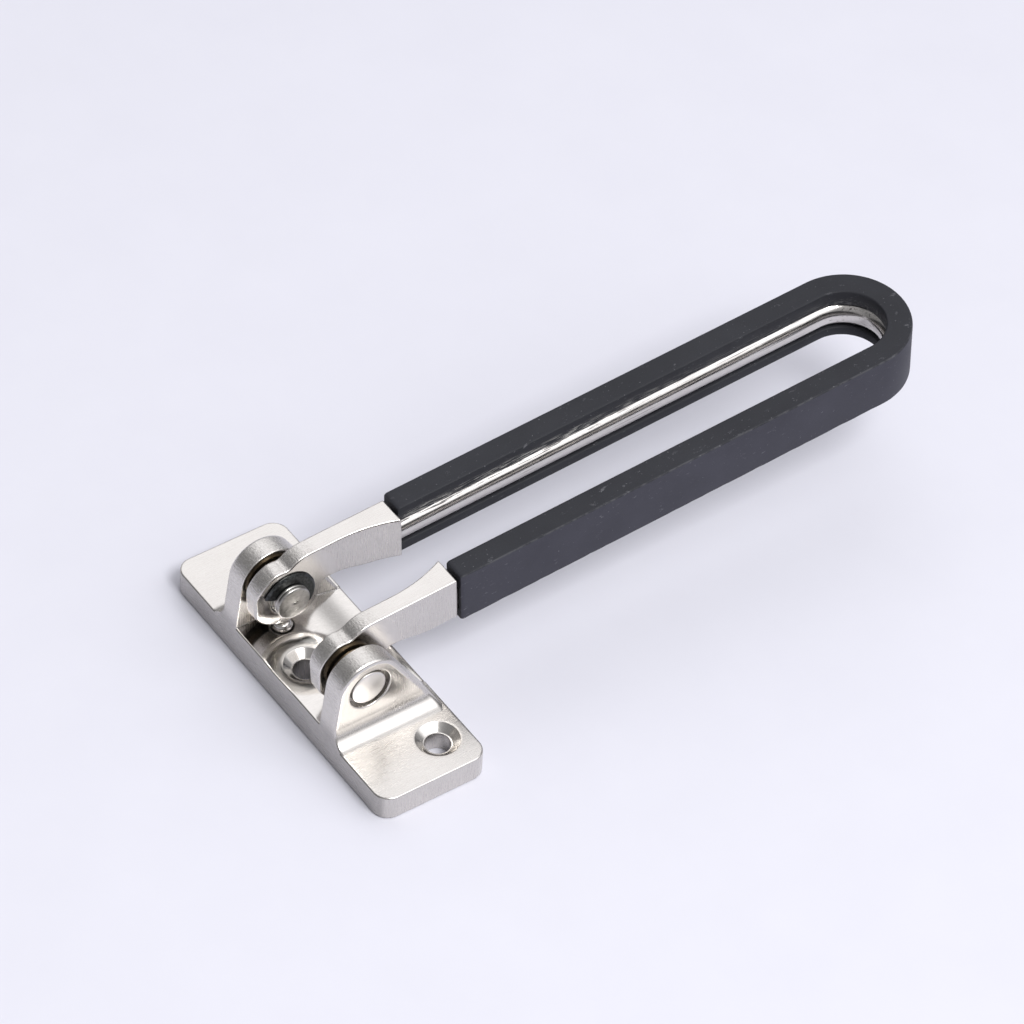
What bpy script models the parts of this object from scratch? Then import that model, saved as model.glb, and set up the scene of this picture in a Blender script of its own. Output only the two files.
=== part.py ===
"""Swing-bar door guard: a cast base plate with two ears, and a rubber-covered U-bar that turns on two pins.

Frame: the plate's back lies on z = 0 and faces -Z. +X runs along the plate and the pivot axis, and +Y from
the plate towards the closed end of the U-bar. Lengths are in metres.
The U-bar's own pieces are drawn in its frame, u along the bar and w square to it, about the pivot axis.
"""

import math

import bmesh
import bpy
from mathutils import Matrix, Vector

# Base plate
PLATE_LENGTH = 0.080
PLATE_WIDTH = 0.0265
PLATE_CORNER_RADIUS = 0.0038
PAD_THICKNESS = 0.006
FLOOR_THICKNESS = 0.0078
FLOOR_END_THICKNESS = 0.0057
FLOOR_SLOPE_START_Y = 0.0005
EAR_INNER_X = 0.0159
EAR_OUTER_X = 0.0212
EAR_FILLET_RADIUS = 0.0042
EAR_FILLET_DEPTH = 0.0012
EAR_ROUND_RADIUS = 0.0076
EAR_BACK_SLOPE = math.radians(57.7)
EAR_FOOT_Z = 0.0030
PLATE_ROUNDING = 0.0004
EAR_ROUNDING = 0.0006

# Screw holes: one in each pad and one in the floor
HOLE_RADIUS = 0.00305
COUNTERSINK_RADIUS = 0.0048
PAD_HOLE_X = 0.031
PAD_HOLE_Y = 0.0063
CENTRE_HOLE_Y = -0.0059
DISH_RADIUS = 0.0076
DISH_DEPTH = 0.0006

# Pivot
PIVOT_Y = -0.0043
PIVOT_Z = 0.0182
PIN_RADIUS = 0.0040
PIN_HEAD_RADIUS = 0.0043
PIN_HEAD_LENGTH = 0.0016
PIN_OUTER_X = 0.0209
PIN_INNER_X = 0.0075
PIN_CHAMFER = 0.0005
PIN_GROOVE_RADIUS = 0.0033
PIN_GAP = 0.0002
HEAD_RECESS_RADIUS = 0.00495
HEAD_RECESS_FLOOR_X = 0.0190

# Small pieces on the pins
RING_INNER_X = 0.0091
RING_OUTER_X = 0.0100
RING_RADIUS = 0.0061
RING_BORE_RADIUS = 0.0036
RING_RECESS_RADIUS = 0.0064
RING_RECESS_FLOOR_X = 0.0103
WASHER_INNER_X = 0.0143
WASHER_OUTER_X = 0.0155
WASHER_RADIUS = 0.0056

# Detent under each eye
DETENT_X = 0.0117
PLUNGER_RADIUS = 0.0023
PLUNGER_TOP_Z = 0.0096
PLUNGER_FLANGE_RADIUS = 0.0029
PLUNGER_FLANGE_BOTTOM_Z = 0.0046
PLUNGER_FLANGE_TOP_Z = 0.0057
DETENT_HOLE_RADIUS = 0.0026
DETENT_BORE_RADIUS = 0.0032
DETENT_BORE_TOP_Z = 0.0060
SET_SCREW_RADIUS = 0.0029
SET_SCREW_BOTTOM_Z = 0.0003
SET_SCREW_TOP_Z = 0.0024
HEX_SOCKET_RADIUS = 0.0015
HEX_SOCKET_DEPTH = 0.0013
SPRING_RADIUS = 0.0021
SPRING_WIRE_RADIUS = 0.0002
SPRING_TURNS = 2.5
SPRING_END_GAP = 0.0003

# U-bar
BAR_REST_TILT = math.radians(3.2)
BAR_CENTRE_U = 0.1363
EYE_RADIUS = 0.0082
EYE_FLAT = 0.0077
ARM_INNER_X = 0.0096
ARM_OUTER_X = 0.01386
ARM_TOP_W = 0.0096
ARM_ROOT_W = -0.0001
ARM_END_BOTTOM_W = -0.0015
ARM_END_U = 0.0266
SHOULDER_INNER_X = 0.0068
SHOULDER_CURVE_START_U = 0.0130
NOTCH_START_ANGLE = math.radians(103.4)
NOTCH_CORNER = (0.0004, 0.0075)
NOTCH_FILLET = 0.0008
ARM_RISE = math.radians(45)
ARM_CREST_RADIUS = 0.0040
ARM_ROOT_FILLET = 0.0020
ARM_ROUNDING = 0.0003
ROD_X = 0.0116
ROD_W = 0.0032
ROD_RADIUS = 0.0034
ROD_FLAT_X = 0.0133
ROD_START_U = 0.0236

# Rubber sleeve
SLEEVE_OUTER_X = 0.01444
SLEEVE_INNER_X = 0.00884
SLEEVE_TOP_W = 0.01068
SLEEVE_BOTTOM_W = -0.0026
SLEEVE_START_U = 0.0272
SLEEVE_MOUTH_HALF_HEIGHT = 0.0034
SLEEVE_CAVITY_GAP = 0.0003
SLEEVE_ROUNDING = 0.0004

# How far cutters run past what they cut, how deep joined pieces bite, and how round the curves are
OVERRUN = 0.0020
SHALLOW_OVERRUN = 0.0003
BURIED = 0.00006
ROUND_STEPS = 48
SMALL_ROUND_STEPS = 32
BEND_STEPS = 32
FILLET_STEPS = 8
CORNER_STEPS = 2
WELD_DISTANCE = 1e-6

SIDES = {"left": -1, "right": 1}
ALONG_X = Matrix(((0, 0, 1, 0), (1, 0, 0, 0), (0, 1, 0, 0), (0, 0, 0, 1)))
ALONG_Y = Matrix(((1, 0, 0, 0), (0, 0, -1, 0), (0, 1, 0, 0), (0, 0, 0, 1)))


def clear_scene():
    for obj in list(bpy.data.objects):
        bpy.data.objects.remove(obj, do_unlink=True)


def new_collection(name):
    collection = bpy.data.collections.new(name)
    bpy.context.scene.collection.children.link(collection)
    return collection


def new_material(name, colour, roughness, metallic):
    material = bpy.data.materials.new(name)
    material.use_nodes = True
    shader = material.node_tree.nodes["Principled BSDF"]
    shader.inputs["Base Color"].default_value = (*colour, 1.0)
    shader.inputs["Roughness"].default_value = roughness
    shader.inputs["Metallic"].default_value = metallic
    return material


def arc(centre, radius, start, end, steps):
    """Points along an arc, both ends included."""
    angles = (start + (end - start) * i / steps for i in range(steps + 1))
    return [(centre[0] + radius * math.cos(a), centre[1] + radius * math.sin(a)) for a in angles]


def mirrored(points):
    """The outline closed by its own mirror image across the first axis."""
    return points + [(-x, y) for x, y in reversed(points)]


def ease(share):
    """Runs smoothly from 0 to 1."""
    return (1 - math.cos(math.pi * share)) / 2


def mesh_of(obj, name):
    """The object's evaluated mesh as a welded object of its own, in the same place."""
    bpy.context.view_layer.update()
    graph = bpy.context.evaluated_depsgraph_get()
    mesh = bpy.data.meshes.new_from_object(obj.evaluated_get(graph))
    shape = bmesh.new()
    shape.from_mesh(mesh)
    bmesh.ops.remove_doubles(shape, verts=shape.verts, dist=WELD_DISTANCE)
    bmesh.ops.recalc_face_normals(shape, faces=shape.faces)
    shape.to_mesh(mesh)
    shape.free()
    solid = bpy.data.objects.new(name, mesh)
    solid.matrix_world = obj.matrix_world.copy()
    bpy.data.objects.remove(obj, do_unlink=True)
    return solid


def place(obj, collection, parent=None):
    collection.objects.link(obj)
    obj.parent = parent
    return obj


def outline_solid(name, points, low, high, turn=Matrix(), rounding=0.0):
    """A flat outline given thickness from low to high along its own Z, its rims rounded, then turned."""
    curve = bpy.data.curves.new(name + "_outline", "CURVE")
    curve.dimensions = "2D"
    curve.fill_mode = "BOTH"
    curve.extrude = (high - low) / 2 - rounding
    curve.bevel_depth = rounding
    curve.bevel_resolution = CORNER_STEPS - 1
    curve.offset = -rounding
    spline = curve.splines.new("POLY")
    spline.points.add(len(points) - 1)
    for spot, (x, y) in zip(spline.points, points):
        spot.co = (x, y, 0, 1)
    spline.use_cyclic_u = True
    drawn = bpy.data.objects.new(name + "_outline", curve)
    bpy.context.scene.collection.objects.link(drawn)
    solid = mesh_of(drawn, name)
    solid.data.transform(turn @ Matrix.Translation((0, 0, (low + high) / 2)))
    return solid


def turned_solid(name, profile, steps, turn=Matrix()):
    """A turned body about its own Z, from an (r, z) profile that runs top to bottom down the outer side."""
    mesh = bpy.data.meshes.new(name)
    edges = [(i, i + 1) for i in range(len(profile) - 1)]
    mesh.from_pydata([(r, 0, z) for r, z in profile], edges, [])
    drawn = bpy.data.objects.new(name + "_profile", mesh)
    bpy.context.scene.collection.objects.link(drawn)
    screw = drawn.modifiers.new("Turn", "SCREW")
    screw.steps = screw.render_steps = steps
    screw.use_merge_vertices = True
    screw.merge_threshold = WELD_DISTANCE
    solid = mesh_of(drawn, name)
    solid.data.transform(turn)
    return solid


def ring_profile(inner, outer, low, high):
    """The closed (r, z) section of a flat ring."""
    return [(inner, high), (outer, high), (outer, low), (inner, low), (inner, high)]


def tube_solid(name, points, radius, resolution):
    curve = bpy.data.curves.new(name + "_path", "CURVE")
    curve.dimensions = "3D"
    curve.bevel_depth = radius
    curve.bevel_resolution = resolution
    curve.use_fill_caps = True
    spline = curve.splines.new("POLY")
    spline.points.add(len(points) - 1)
    for spot, point in zip(spline.points, points):
        spot.co = (*point, 1)
    drawn = bpy.data.objects.new(name + "_path", curve)
    bpy.context.scene.collection.objects.link(drawn)
    return mesh_of(drawn, name)


def boolean(obj, operation, other):
    modifier = obj.modifiers.new(other.name, "BOOLEAN")
    modifier.operation = operation
    modifier.object = other
    return modifier


def helper(obj, collection, parent=None):
    obj.hide_render = True
    obj.display_type = "WIRE"
    return place(obj, collection, parent)


def finished(obj, material, crease=math.radians(35)):
    obj.data.materials.clear()
    obj.data.materials.append(material)
    obj.data.shade_smooth()
    obj.data.set_sharp_from_angle(angle=crease)
    return obj


def along_x_from(side):
    """Turns a body's own Z onto the pivot axis, pointing away from the middle, on one side of the plate."""
    return ALONG_X if side > 0 else Matrix.Scale(-1, 4, (1, 0, 0)) @ ALONG_X


def on_pivot(solid, side):
    """Stands a turned body on the pivot axis, its origin on the axis."""
    solid.data.transform(along_x_from(side))
    if side < 0:
        solid.data.flip_normals()
    solid.location = (0, PIVOT_Y, PIVOT_Z)
    return solid


def plan_outline():
    centre = (PLATE_LENGTH / 2 - PLATE_CORNER_RADIUS, PLATE_WIDTH / 2 - PLATE_CORNER_RADIUS)
    lower = arc((centre[0], -centre[1]), PLATE_CORNER_RADIUS, -math.pi / 2, 0, FILLET_STEPS)
    upper = arc(centre, PLATE_CORNER_RADIUS, 0, math.pi / 2, FILLET_STEPS)
    return mirrored(lower + upper)


def fillet_outline(side):
    """The hollow fillet between one ear's outer face and the pad, seen from the front, its ends buried."""
    reach = EAR_FILLET_RADIUS - BURIED
    centre = (EAR_OUTER_X + reach, PAD_THICKNESS + reach)
    hollow = arc(centre, EAR_FILLET_RADIUS, -math.pi / 2, -math.pi, FILLET_STEPS)
    inside_x, inside_z = EAR_OUTER_X - EAR_FILLET_DEPTH, PAD_THICKNESS - EAR_FILLET_DEPTH
    outline = [(hollow[0][0], inside_z)] + hollow + [(inside_x, hollow[-1][1]), (inside_x, inside_z)]
    return [(side * x, z) for x, z in outline]


def side_outline(inset):
    """The ears seen from the side: a round about the pivot, a straight back slope and a leaning front."""
    pivot = Vector((PIVOT_Y, PIVOT_Z))
    radius = EAR_ROUND_RADIUS - inset
    back_angle = math.pi / 2 - EAR_BACK_SLOPE
    back_tangent = pivot + radius * Vector((math.cos(back_angle), math.sin(back_angle)))
    back_foot_y = back_tangent.x + (back_tangent.y - EAR_FOOT_Z) / math.tan(EAR_BACK_SLOPE)
    front_y = inset - PLATE_WIDTH / 2
    front_base = Vector((front_y, FLOOR_THICKNESS))
    reach = front_base - pivot
    front_angle = 2 * math.pi + math.atan2(reach.y, reach.x) - math.acos(radius / reach.length)
    crown = arc(pivot, radius, back_angle, front_angle, ROUND_STEPS // 2)
    widest_y = PLATE_WIDTH / 2 - PLATE_ROUNDING
    slope_end_z = EAR_FOOT_Z + (back_foot_y - widest_y) * math.tan(EAR_BACK_SLOPE)
    foot = [(front_y, EAR_FOOT_Z), (widest_y, EAR_FOOT_Z), (widest_y, slope_end_z)]
    return foot + crown + [tuple(front_base)]


def floor_height(y):
    """The floor between the ears is level at the front and eases down to just below the pads at the back."""
    run = PLATE_WIDTH / 2 - FLOOR_SLOPE_START_Y
    share = min(max((y - FLOOR_SLOPE_START_Y) / run, 0), 1)
    return FLOOR_THICKNESS - (FLOOR_THICKNESS - FLOOR_END_THICKNESS) * ease(share)


def channel_outline(ceiling):
    """What is taken out between the ears, above the floor."""
    edge = PLATE_WIDTH / 2 + OVERRUN
    slope_end = PLATE_WIDTH / 2
    steps = 2 * FILLET_STEPS
    spots = [FLOOR_SLOPE_START_Y + (slope_end - FLOOR_SLOPE_START_Y) * i / steps for i in range(steps + 1)]
    floor = [(-edge, FLOOR_THICKNESS)] + [(y, floor_height(y)) for y in spots] + [(edge, FLOOR_END_THICKNESS)]
    return floor + [(edge, ceiling), (-edge, ceiling)]


def countersunk_cutter(name, surface_z, dish_depth=0.0):
    """A screw hole with its countersink and, if it has a depth, a shallow dish round the countersink."""
    rim_z = surface_z - dish_depth
    slope_end = rim_z - (COUNTERSINK_RADIUS - HOLE_RADIUS)
    if dish_depth:
        spread = 1 + SHALLOW_OVERRUN / dish_depth
        widest = COUNTERSINK_RADIUS + (DISH_RADIUS - COUNTERSINK_RADIUS) * spread
        top = surface_z + SHALLOW_OVERRUN
        profile = [(0, top), (widest, top), (COUNTERSINK_RADIUS, rim_z)]
    else:
        top = surface_z + OVERRUN
        profile = [(0, top), (COUNTERSINK_RADIUS + OVERRUN, top)]
    profile += [(HOLE_RADIUS, slope_end), (HOLE_RADIUS, -OVERRUN), (0, -OVERRUN)]
    return turned_solid(name, profile, ROUND_STEPS)


def pin_hole_cutter(name, side):
    """The pin's hole through one ear, wider where the head sits."""
    profile = [
        (0, EAR_OUTER_X + OVERRUN),
        (HEAD_RECESS_RADIUS, EAR_OUTER_X + OVERRUN),
        (HEAD_RECESS_RADIUS, HEAD_RECESS_FLOOR_X),
        (PIN_RADIUS + PIN_GAP, HEAD_RECESS_FLOOR_X),
        (PIN_RADIUS + PIN_GAP, EAR_INNER_X - OVERRUN),
        (0, EAR_INNER_X - OVERRUN),
    ]
    return on_pivot(turned_solid(name, profile, ROUND_STEPS), side)


def detent_cutter(name, side):
    """The plunger's hole in the floor, and the wider bore behind it for its flange, spring and set screw."""
    profile = [
        (0, FLOOR_THICKNESS + OVERRUN),
        (DETENT_HOLE_RADIUS, FLOOR_THICKNESS + OVERRUN),
        (DETENT_HOLE_RADIUS, DETENT_BORE_TOP_Z),
        (DETENT_BORE_RADIUS, DETENT_BORE_TOP_Z),
        (DETENT_BORE_RADIUS, -OVERRUN),
        (0, -OVERRUN),
    ]
    cutter = turned_solid(name, profile, SMALL_ROUND_STEPS)
    cutter.location = (side * DETENT_X, PIVOT_Y, 0)
    return cutter


def build_base_plate(parts, cutters, material):
    ceiling = PIVOT_Z + EAR_ROUND_RADIUS + OVERRUN
    plan, side = plan_outline(), side_outline(BURIED / 3)
    fillet_side = side_outline(BURIED / 2)
    base = outline_solid("base_plate", plan, 0, PAD_THICKNESS, rounding=PLATE_ROUNDING)
    place(finished(base, material), parts)
    ears = outline_solid("join_ears", side, -EAR_OUTER_X, EAR_OUTER_X, ALONG_X, EAR_ROUNDING)
    boolean(base, "UNION", helper(ears, cutters))
    half_length = PLATE_LENGTH / 2
    for name, direction in SIDES.items():
        outline = fillet_outline(direction)
        fillet = outline_solid("join_fillet_" + name, outline, -PLATE_WIDTH, PLATE_WIDTH, ALONG_Y)
        keep = outline_solid("cut_fillet_ends_" + name, fillet_side, -half_length, half_length, ALONG_X)
        boolean(fillet, "INTERSECT", helper(keep, cutters))
        boolean(base, "UNION", helper(fillet, cutters))
    channel = outline_solid("cut_channel", channel_outline(ceiling), -EAR_INNER_X, EAR_INNER_X, ALONG_X)
    boolean(base, "DIFFERENCE", helper(channel, cutters))
    centre_hole = countersunk_cutter("cut_centre_hole", FLOOR_THICKNESS, DISH_DEPTH)
    centre_hole.location = (0, CENTRE_HOLE_Y, 0)
    boolean(base, "DIFFERENCE", helper(centre_hole, cutters))
    for name, direction in SIDES.items():
        hole = countersunk_cutter("cut_pad_hole_" + name, PAD_THICKNESS)
        hole.location = (direction * PAD_HOLE_X, PAD_HOLE_Y, 0)
        boolean(base, "DIFFERENCE", helper(hole, cutters))
        boolean(base, "DIFFERENCE", helper(pin_hole_cutter("cut_pin_hole_" + name, direction), cutters))
        boolean(base, "DIFFERENCE", helper(detent_cutter("cut_detent_" + name, direction), cutters))


def build_pivot_pieces(parts, steel, ring_material, washer_material):
    """On each side: the headed pin, its retaining ring inside the eye, and a washer between eye and ear."""
    seat = PIN_OUTER_X - PIN_HEAD_LENGTH
    pin_profile = [
        (0, PIN_OUTER_X),
        (PIN_HEAD_RADIUS - PIN_CHAMFER / 2, PIN_OUTER_X),
        (PIN_HEAD_RADIUS, PIN_OUTER_X - PIN_CHAMFER / 2),
        (PIN_HEAD_RADIUS, seat),
        (PIN_RADIUS, seat),
        (PIN_RADIUS, RING_OUTER_X + PIN_GAP / 2),
        (PIN_GROOVE_RADIUS, RING_OUTER_X + PIN_GAP / 2),
        (PIN_GROOVE_RADIUS, RING_INNER_X - PIN_GAP / 2),
        (PIN_RADIUS, RING_INNER_X - PIN_GAP / 2),
        (PIN_RADIUS, PIN_INNER_X + PIN_CHAMFER),
        (PIN_RADIUS - PIN_CHAMFER, PIN_INNER_X),
        (0, PIN_INNER_X),
    ]
    ring = ring_profile(RING_BORE_RADIUS, RING_RADIUS, RING_INNER_X, RING_OUTER_X)
    washer = ring_profile(PIN_RADIUS + PIN_GAP, WASHER_RADIUS, WASHER_INNER_X, WASHER_OUTER_X)
    kinds = (
        ("pivot_pin_", pin_profile, steel),
        ("retaining_ring_", ring, ring_material),
        ("friction_washer_", washer, washer_material),
    )
    for prefix, profile, material in kinds:
        for name, direction in SIDES.items():
            piece = on_pivot(turned_solid(prefix + name, profile, ROUND_STEPS), direction)
            place(finished(piece, material), parts)


def build_detents(parts, cutters, steel, spring_material):
    """Under each eye: a plunger that presses up, its coil spring, and the set screw that closes the bore."""
    plunger_profile = [
        (0, PLUNGER_TOP_Z),
        (PLUNGER_RADIUS * 0.45, PLUNGER_TOP_Z - 0.0001),
        (PLUNGER_RADIUS * 0.80, PLUNGER_TOP_Z - 0.0005),
        (PLUNGER_RADIUS, PLUNGER_TOP_Z - 0.0011),
        (PLUNGER_RADIUS, PLUNGER_FLANGE_TOP_Z),
        (PLUNGER_FLANGE_RADIUS, PLUNGER_FLANGE_TOP_Z),
        (PLUNGER_FLANGE_RADIUS, PLUNGER_FLANGE_BOTTOM_Z),
        (0, PLUNGER_FLANGE_BOTTOM_Z),
    ]
    screw_profile = [
        (0, SET_SCREW_TOP_Z),
        (SET_SCREW_RADIUS, SET_SCREW_TOP_Z),
        (SET_SCREW_RADIUS, SET_SCREW_BOTTOM_Z),
        (0, SET_SCREW_BOTTOM_Z),
    ]
    spring_low = SET_SCREW_TOP_Z + SPRING_END_GAP + SPRING_WIRE_RADIUS
    spring_high = PLUNGER_FLANGE_BOTTOM_Z - SPRING_END_GAP - SPRING_WIRE_RADIUS
    coil_steps = round(SPRING_TURNS * 16)
    coil = []
    for i in range(coil_steps + 1):
        angle = 2 * math.pi * SPRING_TURNS * i / coil_steps
        height = spring_low + (spring_high - spring_low) * i / coil_steps
        coil.append((SPRING_RADIUS * math.cos(angle), SPRING_RADIUS * math.sin(angle), height))
    hexagon = arc((0, 0), HEX_SOCKET_RADIUS, 0, 2 * math.pi * 5 / 6, 5)
    for name, direction in SIDES.items():
        place_of_detent = (direction * DETENT_X, PIVOT_Y, 0)
        plunger = turned_solid("detent_plunger_" + name, plunger_profile, SMALL_ROUND_STEPS)
        screw = turned_solid("set_screw_" + name, screw_profile, SMALL_ROUND_STEPS)
        spring = tube_solid("detent_spring_" + name, coil, SPRING_WIRE_RADIUS, 1)
        socket = outline_solid(
            "cut_socket_" + name, hexagon, -OVERRUN, SET_SCREW_BOTTOM_Z + HEX_SOCKET_DEPTH
        )
        boolean(screw, "DIFFERENCE", helper(socket, cutters))
        for piece, material in ((plunger, steel), (screw, steel), (spring, spring_material)):
            place(finished(piece, material), parts)
        for piece in (plunger, screw, spring, socket):
            piece.location = place_of_detent


def rounded_turn(before, corner, after, radius):
    """The arc that rounds off a corner between two straight runs."""
    corner = Vector(corner)
    back, ahead = (Vector(before) - corner).normalized(), (Vector(after) - corner).normalized()
    half = math.acos(back.dot(ahead)) / 2
    centre = corner + (back + ahead).normalized() * (radius / math.sin(half))
    first = corner + back * (radius / math.tan(half)) - centre
    last = corner + ahead * (radius / math.tan(half)) - centre
    start = math.atan2(first.y, first.x)
    turn = math.remainder(math.atan2(last.y, last.x) - start, 2 * math.pi)
    return arc(centre, radius, start, start + turn, FILLET_STEPS)


def arm_side_outline():
    """Eye and arm seen from the side, as (u, w): flat on the eye's back, a notch where the arm springs."""
    flat_angle = math.acos(EYE_FLAT / EYE_RADIUS)
    upper_rim = arc((0, 0), EYE_RADIUS, NOTCH_START_ANGLE, math.pi - flat_angle, FILLET_STEPS)
    root_u = EYE_RADIUS - 0.0001 + ARM_ROOT_FILLET
    root_centre = (root_u, ARM_ROOT_W - ARM_ROOT_FILLET)
    rim_end = math.atan2(root_centre[1], math.sqrt(EYE_RADIUS**2 - root_centre[1] ** 2))
    lower_rim = arc((0, 0), EYE_RADIUS, math.pi + flat_angle, 2 * math.pi + rim_end, ROUND_STEPS // 2)
    root_fillet = arc(root_centre, ARM_ROOT_FILLET, math.pi, math.pi / 2, FILLET_STEPS)
    sweep_start, sweep_end = root_u + 0.001, 0.020
    belly = [
        (
            sweep_start + (sweep_end - sweep_start) * i / FILLET_STEPS,
            ARM_ROOT_W + (ARM_END_BOTTOM_W - ARM_ROOT_W) * ease(i / FILLET_STEPS),
        )
        for i in range(FILLET_STEPS + 1)
    ]
    rim_end_point = (
        EYE_RADIUS * math.cos(NOTCH_START_ANGLE),
        EYE_RADIUS * math.sin(NOTCH_START_ANGLE),
    )
    rise = ARM_TOP_W - NOTCH_CORNER[1]
    crest_point = (NOTCH_CORNER[0] + rise / math.tan(ARM_RISE), ARM_TOP_W)
    crest = rounded_turn((ARM_END_U, ARM_TOP_W), crest_point, NOTCH_CORNER, ARM_CREST_RADIUS)
    notch = crest + rounded_turn(crest_point, NOTCH_CORNER, rim_end_point, NOTCH_FILLET)
    arm_end = [(ARM_END_U, ARM_END_BOTTOM_W), (ARM_END_U, ARM_TOP_W)]
    return upper_rim + lower_rim + root_fillet + belly + arm_end + notch


def arm_plan_outline(side):
    """The arm from above: the inner face sweeps in to the square shoulder."""
    start = -EYE_RADIUS - OVERRUN
    run, rise = ARM_END_U - SHOULDER_CURVE_START_U, ARM_INNER_X - SHOULDER_INNER_X
    radius = (run**2 + rise**2) / (2 * rise)
    centre = (ARM_INNER_X - radius, SHOULDER_CURVE_START_U)
    sweep = math.asin((run + OVERRUN / 2) / radius)
    inner_face = arc(centre, radius, sweep, 0, FILLET_STEPS)
    end = inner_face[0][1]
    outer = ARM_OUTER_X + OVERRUN
    outline = inner_face + [(ARM_INNER_X, start), (outer, start), (outer, end)]
    return [(side * x, u) for x, u in outline]


def swept_along_u(name, section, start_u):
    """A closed (x, w) section carried up one side of the U, round the bend and down the other side."""
    quarter_turns = [math.pi * i / BEND_STEPS for i in range(BEND_STEPS + 1)]
    stations = [(1, 0, start_u)]
    stations += [(math.cos(turn), math.sin(turn), BAR_CENTRE_U) for turn in quarter_turns]
    stations += [(-1, 0, start_u)]
    shape = bmesh.new()
    rows = [[shape.verts.new((x * c, u + x * s, w)) for x, w in section] for c, s, u in stations]
    around = range(len(section))
    for row, following in zip(rows, rows[1:]):
        for i in around:
            shape.faces.new((row[i - 1], row[i], following[i], following[i - 1]))
    for row in (rows[0], rows[-1]):
        shape.faces.new(row)
    bmesh.ops.recalc_face_normals(shape, faces=shape.faces)
    mesh = bpy.data.meshes.new(name)
    shape.to_mesh(mesh)
    shape.free()
    return bpy.data.objects.new(name, mesh)


def rod_section():
    """Round towards the inside of the U, with a flat on its outer side."""
    half_angle = math.acos((ROD_FLAT_X - ROD_X) / ROD_RADIUS)
    return arc((ROD_X, ROD_W), ROD_RADIUS, half_angle, 2 * math.pi - half_angle, 2 * FILLET_STEPS)


def rounded_corner(corner, start_angle):
    """A corner of a box section, rounded; the arc turns a quarter left from start_angle."""
    inward = start_angle + math.pi / 4 + math.pi
    to_centre = SLEEVE_ROUNDING * math.sqrt(2)
    centre = (corner[0] + to_centre * math.cos(inward), corner[1] + to_centre * math.sin(inward))
    return arc(centre, SLEEVE_ROUNDING, start_angle, start_angle + math.pi / 2, CORNER_STEPS)


def sleeve_section():
    """A box round the rod, open on its inner side, with a cavity that follows the rod."""
    radius = ROD_RADIUS + SLEEVE_CAVITY_GAP
    outer_angle = math.acos((ROD_FLAT_X + SLEEVE_CAVITY_GAP - ROD_X) / radius)
    mouth_angle = math.pi - math.asin(SLEEVE_MOUTH_HALF_HEIGHT / radius)
    upper_lip = ROD_W + SLEEVE_MOUTH_HALF_HEIGHT
    lower_lip = ROD_W - SLEEVE_MOUTH_HALF_HEIGHT
    cavity_below = arc((ROD_X, ROD_W), radius, -mouth_angle, -outer_angle, FILLET_STEPS)
    cavity_above = arc((ROD_X, ROD_W), radius, outer_angle, mouth_angle, FILLET_STEPS)
    outside = rounded_corner((SLEEVE_INNER_X, SLEEVE_TOP_W), math.pi / 2)[::-1]
    outside += rounded_corner((SLEEVE_OUTER_X, SLEEVE_TOP_W), 0)[::-1]
    outside += rounded_corner((SLEEVE_OUTER_X, SLEEVE_BOTTOM_W), -math.pi / 2)[::-1]
    outside += rounded_corner((SLEEVE_INNER_X, SLEEVE_BOTTOM_W), math.pi)[::-1]
    mouth = [(SLEEVE_INNER_X, lower_lip)] + cavity_below + cavity_above + [(SLEEVE_INNER_X, upper_lip)]
    return mouth + outside


def eye_bore_cutter(name, side):
    """The pin's hole through one eye, and the recess in its inner face for the retaining ring."""
    profile = [
        (0, ARM_OUTER_X + OVERRUN),
        (PIN_RADIUS + PIN_GAP, ARM_OUTER_X + OVERRUN),
        (PIN_RADIUS + PIN_GAP, RING_RECESS_FLOOR_X),
        (RING_RECESS_RADIUS, RING_RECESS_FLOOR_X),
        (RING_RECESS_RADIUS, ARM_INNER_X - OVERRUN),
        (0, ARM_INNER_X - OVERRUN),
    ]
    cutter = turned_solid(name, profile, ROUND_STEPS, along_x_from(side))
    if side < 0:
        cutter.data.flip_normals()
    return cutter


def build_u_bar(parts, cutters, frame, material):
    bar = swept_along_u("u_bar", rod_section(), ROD_START_U)
    place(finished(bar, material), parts, frame)
    outline = arm_side_outline()
    plan_reach = ARM_OUTER_X + OVERRUN
    for name, direction in SIDES.items():
        low, high = sorted((direction * (SHOULDER_INNER_X - OVERRUN), direction * ARM_OUTER_X))
        arm = outline_solid("join_arm_" + name, outline, low, high, ALONG_X, ARM_ROUNDING)
        plan = outline_solid("cut_arm_plan_" + name, arm_plan_outline(direction), -plan_reach, plan_reach)
        boolean(arm, "INTERSECT", helper(plan, cutters, frame))
        boolean(bar, "UNION", helper(arm, cutters, frame))
    for name, direction in SIDES.items():
        bore = eye_bore_cutter("cut_eye_bore_" + name, direction)
        boolean(bar, "DIFFERENCE", helper(bore, cutters, frame))


def build_rubber_sleeve(parts, frame, material):
    sleeve = swept_along_u("rubber_sleeve", sleeve_section(), SLEEVE_START_U)
    place(finished(sleeve, material), parts, frame)


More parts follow.
